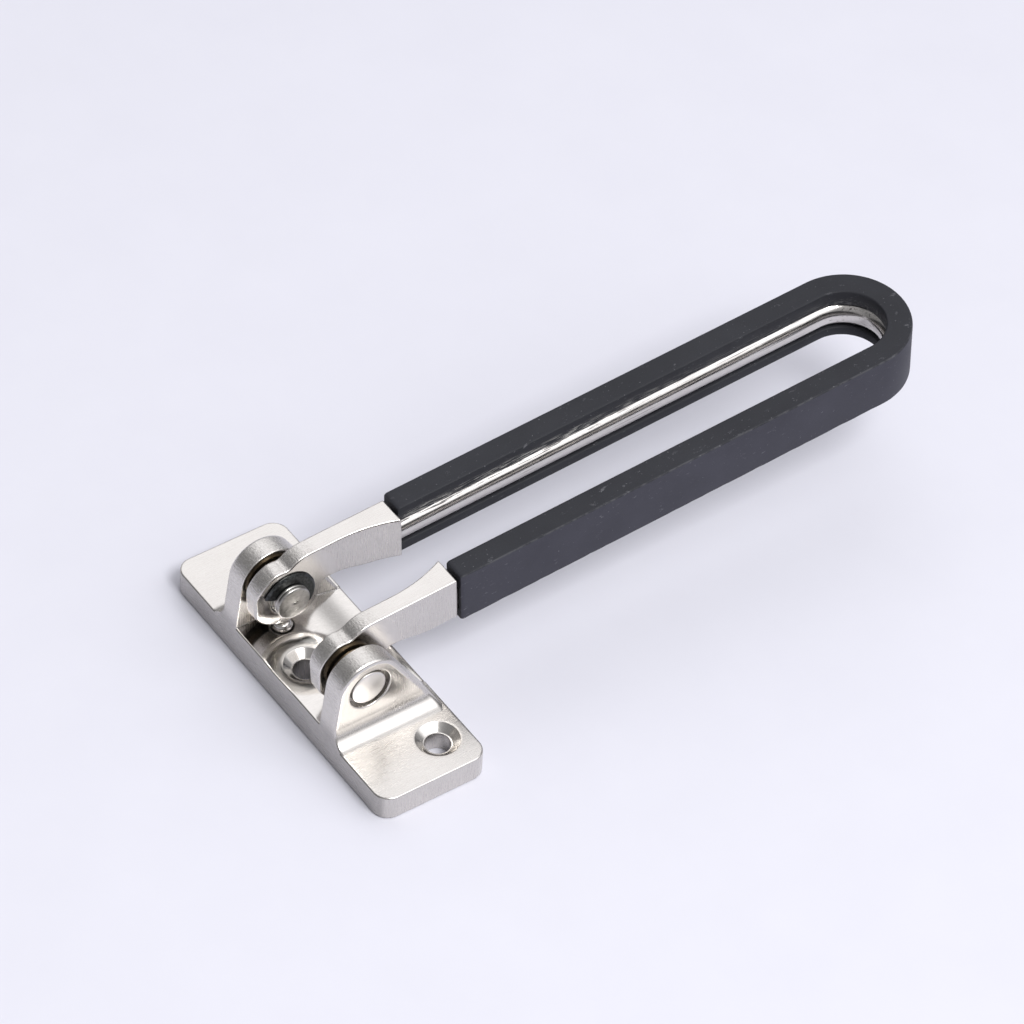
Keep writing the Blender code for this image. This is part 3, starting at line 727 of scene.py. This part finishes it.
def polished_nickel(name):
    """Bright nickel with light scuffs."""
    shader = Shader(name, 0.14, 1.0)
    scuffs = shader.noise(shader.place, 1400.0, 4.0, 0.7)
    shader.colour(shader.ramp(scuffs, (0.35, NICKEL_DARK), (0.65, NICKEL_BRIGHT)))
    shader.roughness(shader.times_add(scuffs, 0.18, 0.06))
    shader.bump(scuffs, 0.00001, 0.4)
    return shader.material


def turned_nickel(name):
    """Nickel with a lathe's rings about the piece's own Z, and a smooth head at its far end."""
    shader = Shader(name, 0.2, 1.0)
    x, y, z = shader.split(shader.place)
    head = shader.step(z, HEAD_RECESS_FLOOR * MM, (HEAD_RECESS_FLOOR + 0.5) * MM)
    wobble = shader.noise(shader.place, 700.0, 2.0, 0.5)
    rings = shader.math("SINE", shader.times_add(shader.reach(x, y), 21000.0, wobble))
    scratch = shader.spread((2600.0, 700.0, 900.0), 3.0, 0.6)
    tone = shader.add(shader.times(wobble, 0.6), shader.times(scratch, 0.4))
    end_metal = shader.ramp(tone, (0.38, (0.34, 0.33, 0.31)), (0.62, (0.56, 0.545, 0.52)))
    head_metal = shader.ramp(tone, (0.35, (0.70, 0.68, 0.65)), (0.65, NICKEL))
    shader.colour(shader.mix(head, end_metal, head_metal))
    shader.roughness(shader.times_add(head, 0.03, shader.times_add(tone, 0.2, 0.2)))
    height = shader.add(shader.times(rings, 0.45), shader.times(scratch, 1.6))
    shader.bump(shader.times(height, shader.times_add(head, -0.6, 1.0)), FINE_BUMP, 0.5)
    return shader.material


def drawn_nickel(name):
    """Bright rod with the long fine scratches of its drawing die, and dark smears."""
    shader = Shader(name, 0.14, 1.0)
    _, u, w = shader.split(shader.place)
    drawn = shader.spread((4200.0, 70.0, 4200.0), 3.0, 0.65)
    scuffs = shader.noise(shader.place, 900.0, 4.0, 0.7)
    deep = shader.step(shader.spread((2600.0, 45.0, 2600.0), 1.0, 0.5), 0.66, 0.72)
    tone = shader.add(shader.times(drawn, 0.6), shader.times(scuffs, 0.4))
    metal = shader.ramp(tone, (0.32, NICKEL_DARK), (0.62, (0.71, 0.685, 0.66)))
    metal = shader.mix(shader.times(deep, 0.75), metal, (0.16, 0.15, 0.14))
    smear = shader.spread((3400.0, 150.0, 3400.0), 3.0, 0.6)
    smear = shader.add(smear, shader.step(w, 4.6 * MM, 6.6 * MM, -0.16, 0.14))
    fading = shader.step(u, 60.0 * MM, 110.0 * MM, 0.9, 0.25)
    smear = shader.times(shader.step(smear, 0.50, 0.60), fading)
    shader.colour(shader.mix(smear, metal, (0.05, 0.05, 0.05)))
    shader.roughness(shader.times_add(tone, 0.26, 0.05))
    shader.bump(shader.add(drawn, shader.times(scuffs, 0.4)), FINE_BUMP, 0.55)
    return shader.material


def black_rubber(name):
    """Dusty black rubber with rubbed corners and scuffs, painted paler and bluer on its outer
    faces for the light there, and torn flash by the rod painted pale for its glints.
    """
    shader = Shader(name, 0.6)
    x, u, w = shader.split(shader.place)
    past_bend = shader.math("MAXIMUM", shader.minus(u, BEND_U * MM), 0.0)
    reach = shader.reach(x, past_bend)
    fine = shader.noise(shader.place, 3500.0, 4.0, 0.7)
    cloud = shader.noise(shader.place, 60.0, 3.0, 0.6)
    tone = shader.add(shader.times(fine, 0.5), shader.times(cloud, 0.5))
    top = shader.ramp(tone, (0.35, (0.019, 0.0195, 0.024)), (0.65, (0.029, 0.030, 0.036)))
    # Painted light: the outer faces get a paler, bluer tone than the top, for the light and sheen
    # that fall on them.
    side = shader.ramp(tone, (0.35, (0.034, 0.034, 0.045)), (0.65, (0.048, 0.048, 0.063)))
    painted_light_outside = shader.step(reach, 13.9 * MM, 14.2 * MM)
    below_top = shader.step(w, 10.2 * MM, 10.5 * MM, 1.0, 0.0)
    body = shader.mix(shader.times(painted_light_outside, below_top), top, side)

    specks = shader.step(shader.noise(shader.place, 1600.0, 2.0, 0.5), 0.695, 0.76)
    scuffs = shader.step(shader.spread((700.0, 380.0, 900.0), 5.0, 0.75), 0.605, 0.70)
    patches = shader.step(shader.noise(shader.place, 110.0, 2.0, 0.5), 0.42, 0.58)
    dust = shader.times_add(shader.times(scuffs, patches), 0.35, shader.times(specks, 0.45))
    top_rim = shader.step(w, 10.2 * MM, 10.5 * MM)
    edge = shader.times(shader.step(reach, 14.0 * MM, 14.3 * MM), top_rim)
    rubbed = shader.step(shader.noise(shader.place, 420.0, 3.0, 0.6), 0.38, 0.60)
    dust = shader.times_add(shader.times(edge, rubbed), 0.15, dust, clamp=True)
    body = shader.mix(dust, body, (0.24, 0.24, 0.26))

    inner = shader.step(reach, 9.0 * MM, 9.3 * MM, 1.0, 0.0)
    lip_end = shader.step(w, 7.4 * MM, 9.2 * MM, 1.0, 0.0)
    lip = shader.times(shader.step(w, 6.1 * MM, 6.5 * MM), lip_end)
    streaks = shader.step(shader.spread((2600.0, 190.0, 3600.0), 4.0, 0.7), 0.49, 0.62)
    # Painted glint: the torn flash on the lip above the rod is painted pale, standing in for its
    # glints.
    flash_and_glint = shader.times(shader.times(inner, lip), streaks)
    fading = shader.step(u, 60.0 * MM, 110.0 * MM, 1.0, 0.15)
    shader.colour(shader.mix(shader.times(flash_and_glint, fading), body, (0.62, 0.61, 0.57)))
    shader.roughness(shader.times_add(fine, 0.2, 0.45))
    shader.principled.inputs["Specular IOR Level"].default_value = 0.22
    shader.bump(shader.add(fine, flash_and_glint), 0.00003, 0.4)
    return shader.material


def spotted_metal(name, dark, light, rough):
    """A metal whose tone and roughness vary in small spots."""
    shader = Shader(name, rough, 1.0)
    spots = shader.noise(shader.place, 1800.0, 4.0, 0.65)
    shader.colour(shader.ramp(spots, (0.35, dark), (0.68, light)))
    shader.roughness(shader.times_add(spots, 0.25, rough - 0.1))
    shader.bump(spots, FINE_BUMP, 0.4)
    return shader.material


def paper(name):
    """Matt paper, a little uneven in tone."""
    shader = Shader(name, 0.9)
    fibres = shader.noise(shader.place, 40.0, 3.0, 0.6)
    shades = (0.3, (0.678, 0.676, 0.739)), (0.7, (0.692, 0.690, 0.753))
    shader.colour(shader.ramp(fibres, *shades))
    shader.principled.inputs["Specular IOR Level"].default_value = 0.0
    return shader.material


def clad(obj, material):
    obj.data.materials.clear()
    obj.data.materials.append(material)
    return obj


# Pieces

PIVOT_PLACE = Matrix.Translation((0, PIVOT[0] * MM, PIVOT[1] * MM))
BAR_FRAME = PIVOT_PLACE @ Matrix.Rotation(REST_TILT, 4, "X")


def on_bar(obj):
    obj.matrix_world = BAR_FRAME
    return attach(obj, "swing_bar")


def casting(name, field, low, high, keep, mirrored=False):
    step = GRID_STEP
    return field_object(name, field, low, high, step, keep, mirrored)


def build_base_plate(metal):
    plate = casting("casting_plate", base_plate_field, PLATE_LOW, PLATE_HIGH, PLATE_KEEP)
    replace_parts(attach(plate, "plate"), "base_plate")
    clad(plate, metal)


def build_screw_seats(metal):
    """The countersinks, turned so that their rims, ledges and bores are true circles."""
    places = (
        ("right", PAD_HOLES[0], PAD_HOLES[1], PAD_Z, 0.0),
        ("left", -PAD_HOLES[0], PAD_HOLES[1], PAD_Z, 0.0),
        ("centre", 0.0, CENTRE_HOLE_Y, FLOOR_Z - DISH_DEPTH, DISH_SLOPE),
    )
    for name, x, y, top, slope in places:
        ledge, foot = top - SINK_DEPTH, top - SEAT_POCKET_DEPTH + SEAT_FOOT_GAP
        lip = (SEAT_LIP_RADIUS, top + (SEAT_LIP_RADIUS - SINK_RADIUS) * slope + SEAT_PROUD)
        wall, side = HOLE_RADIUS + SEAT_WALL, SEAT_POCKET_RADIUS - SEAT_GAP
        seen = [lip, (SINK_RADIUS + SEAT_BEVEL, top + SEAT_PROUD), (LEDGE_RADIUS, ledge)]
        seen += [(HOLE_RADIUS + SEAT_BEVEL, ledge), (HOLE_RADIUS, ledge - SEAT_TAPER)]
        seen += [(HOLE_RADIUS, SEAT_GAP)]
        hidden = [(wall, SEAT_GAP), (wall, foot), (side, foot), (side, top - SEAT_WALL), lip]
        seat = turned("screw_seat_" + name, softened(seen + hidden, SEAT_EDGE, 2), 128)
        seat.data.transform(Matrix.Translation((x * MM, y * MM, 0)))
        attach(clad(seat, metal), "plate")


def rod_outline():
    """The rod's round section, with the flat on its outer side."""
    half = math.acos((ROD_FLAT_X - BEND_RADIUS) / ROD_RADIUS)
    return arc(ROD_CENTRE, ROD_RADIUS, half, 2 * math.pi - half, 40)


def build_bar(metal, rod_metal):
    for side, name in SIDES:
        arm = casting("bar_arm_" + name, arm_field, ARM_LOW, ARM_HIGH, ARM_KEEP, side < 0)
        on_bar(clad(arm, metal))
        if side > 0:
            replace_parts(arm, "u_bar")
    rod = swept("bar_rod", rod_outline(), ROD_START)
    on_bar(clad(rod, rod_metal))


def sleeve_outline():
    """The sleeve's section: a block with a channel for the rod, open towards the middle."""
    outer_angle = math.acos((CHANNEL_FLAT_X - BEND_RADIUS) / CHANNEL_RADIUS)
    mouth_angle = math.pi - math.asin(MOUTH_HALF / CHANNEL_RADIUS)
    diagonal = SLEEVE_CORNER * math.sqrt(2)
    lip_x = SLEEVE_INNER + LIP_CHAMFER

    def rounded(x, w, start):
        inward = start + math.pi / 4 + math.pi
        middle = (x + diagonal * math.cos(inward), w + diagonal * math.sin(inward))
        return arc(middle, SLEEVE_CORNER, start, start + math.pi / 2, 4)[::-1]

    outline = [(SLEEVE_INNER, LIP_LOW - LIP_CHAMFER), (lip_x, LIP_LOW)]
    outline += arc(ROD_CENTRE, CHANNEL_RADIUS, -mouth_angle, -outer_angle, 12)
    outline += arc(ROD_CENTRE, CHANNEL_RADIUS, outer_angle, mouth_angle, 12)
    outline += [(lip_x, LIP_HIGH), (SLEEVE_INNER, LIP_HIGH + LIP_CHAMFER)]
    outline += rounded(SLEEVE_INNER, SLEEVE_TOP, math.pi / 2)
    outline += rounded(SLEEVE_OUTER, SLEEVE_TOP, 0)
    outline += rounded(SLEEVE_OUTER, SLEEVE_BOTTOM, -math.pi / 2)
    return outline + rounded(SLEEVE_INNER, SLEEVE_BOTTOM, math.pi)


def worn_sleeve(x, w, travel, left):
    """Rounds the sleeve's ends, and roughens its lower outer edge and the lip above the rod."""
    end = max(0.0, 1 - min(travel, left) / END_ROWS[-1]) ** 2
    x = BEND_RADIUS + (x - BEND_RADIUS) * (1 - END_NARROWING * end)
    w = SLEEVE_MIDDLE_W + (w - SLEEVE_MIDDLE_W) * (1 - END_FLATTENING * end)
    if w < WORN_EDGE_W and x > BEND_RADIUS:
        w += WEAR * max(0.0, noise.noise((travel * 0.35, 0.0, 1.7)))
    if x < WORN_LIP_X and WORN_LIP_W[0] < w < WORN_LIP_W[1]:
        w += WEAR * noise.noise((travel * 0.3, x, 4.1))
    return x, w


def build_sleeve(rubber):
    outline = sleeve_outline()
    sleeve = swept("sleeve_rubber", outline, SLEEVE_START, SLEEVE_STEPS, shift=worn_sleeve)
    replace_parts(on_bar(clad(sleeve, rubber)), "rubber_sleeve")


def on_pivot(obj, side):
    """Lays a turned piece on the pivot axis, its own Z pointing away from the middle."""
    obj.matrix_world = PIVOT_PLACE @ Matrix.Rotation(math.radians(90 * side), 4, "Y")
    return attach(obj, "plate")


def open_ring(name, profile, side, start, end, steps=72):
    """Part of a turn of a closed (r, z) profile, by angles from the plate's +Y towards its +Z."""
    points = []
    for i in range(steps + 1):
        angle = math.radians(start + (end - start) * i / steps)
        for r, z in profile:
            points.append((-side * r * math.sin(angle) * MM, r * math.cos(angle) * MM, z * MM))
    size = len(profile)
    faces = end_faces(steps + 1, size) + side_faces(steps + 1, size)
    return finished_mesh(mesh_object(name, points, faces), 30)


def pin_profile():
    """(r, z) down the pin from the middle of its domed head, with the grooves at its far end."""
    head = []
    for i in range(PIN_HEAD_STEPS):
        share = i / PIN_HEAD_STEPS
        dome = PIN_HEAD_RIM_Z + PIN_HEAD_DOME * (1 - share**2)
        head.append((PIN_HEAD_RADIUS * i / PIN_HEAD_STEPS, dome))
    shank = [(PIN_HEAD_RADIUS, 20.75), (PIN_HEAD_RADIUS, 19.3), (4.0, 19.3), (4.0, 9.75)]
    groove = [(3.3, 9.75), (3.3, 8.8), (4.0, 8.8), (4.0, 8.3), (3.8, 8.15), (4.0, 8.0)]
    return head + shank + groove + [(4.0, 7.5), (3.8, 7.25), (0.35, 7.25), (0, 7.45)]


SNAP_RING = [(3.5, 9.5), (6.35, 9.5), (6.45, 9.4), (6.45, 9.25), (5.9, 8.9), (3.5, 8.9)]
WASHER = [(4.2, 15.5), (5.6, 15.5), (5.6, 14.3), (4.2, 14.3), (4.2, 15.5)]
PLUNGER_TIP = [(0, 9.6), (0.8, 9.55), (1.5, 9.3), (1.9, 9.0), (2.0, 8.7), (1.85, 8.55)]
PLUNGER_BODY = [(1.85, 8.35), (2.3, 8.2), (2.3, 5.7), (2.9, 5.7), (2.9, 4.6)]
PLUNGER_HOLLOW = [(2.45, 4.6), (2.45, 5.55), (0, 5.55)]


def build_pivots(pin_metal, ring_metal, washer_metal):
    for side, name in SIDES:
        ring = open_ring("snap_ring_" + name, SNAP_RING, side, SNAP_RING_START, SNAP_RING_END)
        pin = turned("pin_" + name, softened(pin_profile(), PIN_EDGE))
        washer = turned("washer_" + name, softened(WASHER, WASHER_EDGE))
        pieces = (
            (pin, pin_metal, "polished_nickel", "pivot_pin_"),
            (ring, ring_metal, "blackened_steel", "retaining_ring_"),
            (washer, washer_metal, "bronze", "friction_washer_"),
        )
        for piece, material, slot, node in pieces:
            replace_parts(clad(on_pivot(piece, side), material), node + name)


def build_detents(polished):
    for side, name in SIDES:
        tip = turned("plunger_tip_" + name, PLUNGER_TIP + PLUNGER_BODY + PLUNGER_HOLLOW, 64)
        tip.matrix_world = Matrix.Translation((side * DETENT_X * MM, PIVOT[0] * MM, 0))
        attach(tip, "plunger_" + name)
        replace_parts(clad(tip, polished), "detent_plunger_" + name)
        for node in ("set_screw_", "detent_spring_"):
            clad(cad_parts[node + name], polished)


# Studio: directions from the object, sky strengths, metres and watts

FLOOR_HALF = 4
FLOOR_DROP = 0.0001
SKY_COLOUR = (0.97, 0.97, 1.0, 1.0)
SKY_LOW = 0.30
SKY_HIGH = 0.42
SKY_PATCH = (-0.56, 0.30, 0.77)
SKY_PATCH_STRENGTH = 1.05
SKY_PATCH_RIGHT = (0.56, 0.38, 0.73)
SKY_PATCH_RIGHT_STRENGTH = 1.45
SKY_SHADE = (-0.45, -0.70, 0.55)
SKY_SHADE_DEPTH = 0.12
KEY_AIM = (0, 0.06, 0.01)
KEY_DIRECTION = (0.55, 0.02, 0.83)
KEY_DISTANCE = 1.6
KEY_SIZE = 0.56
KEY_POWER = 14.2

# Camera: degrees, metres, and a focal length in widths of the frame

CAMERA_AZIMUTH, CAMERA_ELEVATION, CAMERA_ROLL = 52.94, 45.46, 3.55
CAMERA_TARGET = (-0.01947, 0.05986, 0)
CAMERA_DISTANCE = 1.28997
CAMERA_FOCAL_WIDTHS = 5.859375
SENSOR_WIDTH = 36.0


def build_studio():
    signs = ((-1, -1), (1, -1), (1, 1), (-1, 1))
    corners = [(x * FLOOR_HALF, y * FLOOR_HALF, 0) for x, y in signs]
    floor = mesh_object("studio_floor", corners, [(0, 1, 2, 3)])
    floor.location.z = -FLOOR_DROP
    clad(floor, paper("studio_paper"))
    key = bpy.data.lights.new("key_softbox", "AREA")
    key.shape = "SQUARE"
    key.size = KEY_SIZE
    key.energy = KEY_POWER
    box = link(bpy.data.objects.new("key_softbox", key))
    towards = Vector(KEY_DIRECTION).normalized()
    box.location = Vector(KEY_AIM) + towards * KEY_DISTANCE
    box.rotation_mode = "QUATERNION"
    box.rotation_quaternion = towards.to_track_quat("Z", "Y")
    build_sky()


def build_sky():
    """An even sky with a bright patch behind the object and another on its right, less a shade."""
    world = bpy.data.worlds.new("studio_world")
    world.use_nodes = True
    sky = Nodes(world.node_tree)
    direction = sky.tree.nodes.new("ShaderNodeTexCoord").outputs["Generated"]

    def nearness(centre, wide, narrow):
        """1 within narrow degrees of a direction, and 0 past wide degrees."""
        dot = sky.tree.nodes.new("ShaderNodeVectorMath")
        dot.operation = "DOT_PRODUCT"
        sky.connect(direction, dot.inputs[0])
        dot.inputs[1].default_value = Vector(centre).normalized()
        outer, inner = math.cos(math.radians(wide)), math.cos(math.radians(narrow))
        return sky.step(dot.outputs["Value"], outer, inner)

    base = sky.step(sky.split(direction)[2], 0.0, 0.7, SKY_LOW, SKY_HIGH)
    patch = sky.times(nearness(SKY_PATCH, 36, 15), SKY_PATCH_STRENGTH)
    right = sky.times(nearness(SKY_PATCH_RIGHT, 42, 20), SKY_PATCH_RIGHT_STRENGTH)
    shade = sky.times(nearness(SKY_SHADE, 50, 25), SKY_SHADE_DEPTH)
    total = sky.minus(sky.add(sky.add(base, patch), right), shade)
    background = sky.tree.nodes["Background"]
    background.inputs["Color"].default_value = SKY_COLOUR
    sky.connect(total, background.inputs["Strength"])
    bpy.context.scene.world = world


def build_camera():
    azimuth, elevation = math.radians(CAMERA_AZIMUTH), math.radians(CAMERA_ELEVATION)
    roll = math.radians(CAMERA_ROLL)
    flat = math.cos(elevation)
    back = Vector((math.sin(azimuth) * flat, -math.cos(azimuth) * flat, math.sin(elevation)))
    level = Vector((math.cos(azimuth), math.sin(azimuth), 0))
    upright = back.cross(level)
    right = level * math.cos(roll) + upright * math.sin(roll)
    up = upright * math.cos(roll) - level * math.sin(roll)
    data = bpy.data.cameras.new("camera")
    data.sensor_width = SENSOR_WIDTH
    data.lens = CAMERA_FOCAL_WIDTHS * SENSOR_WIDTH
    data.clip_start, data.clip_end = 0.05, 20.0
    camera = link(bpy.data.objects.new("camera", data))
    rotation = Matrix((right, up, back)).transposed().to_4x4()
    place = Vector(CAMERA_TARGET) + back * CAMERA_DISTANCE
    camera.matrix_world = Matrix.Translation(place) @ rotation
    bpy.context.scene.camera = camera


def main():
    bpy.context.scene.view_settings.view_transform = "Standard"
    plate_metal = satin_nickel("satin_nickel_plate", PIVOT, 9.8, plate=True)
    bar_metal = satin_nickel("satin_nickel_bar", (0, 0), 13.0)
    polished = polished_nickel("polished_nickel_look")
    build_camera()
    build_base_plate(plate_metal)
    build_screw_seats(plate_metal)
    build_bar(bar_metal, drawn_nickel("drawn_nickel_look"))
    build_sleeve(black_rubber("black_rubber_look"))
    build_pivots(
        turned_nickel("turned_nickel_look"),
        spotted_metal("black_oxide_look", (0.026, 0.028, 0.028), (0.105, 0.110, 0.110), 0.34),
        # Painted shade: the bronze washers are darkened far below bronze's own tone, for the shade
        # in the narrow gap between ear and eye.
        spotted_metal("bronze_painted_shade_look", (0.07, 0.055, 0.035), (0.17, 0.13, 0.085), 0.4),
    )
    build_detents(polished)
    build_studio()


main()
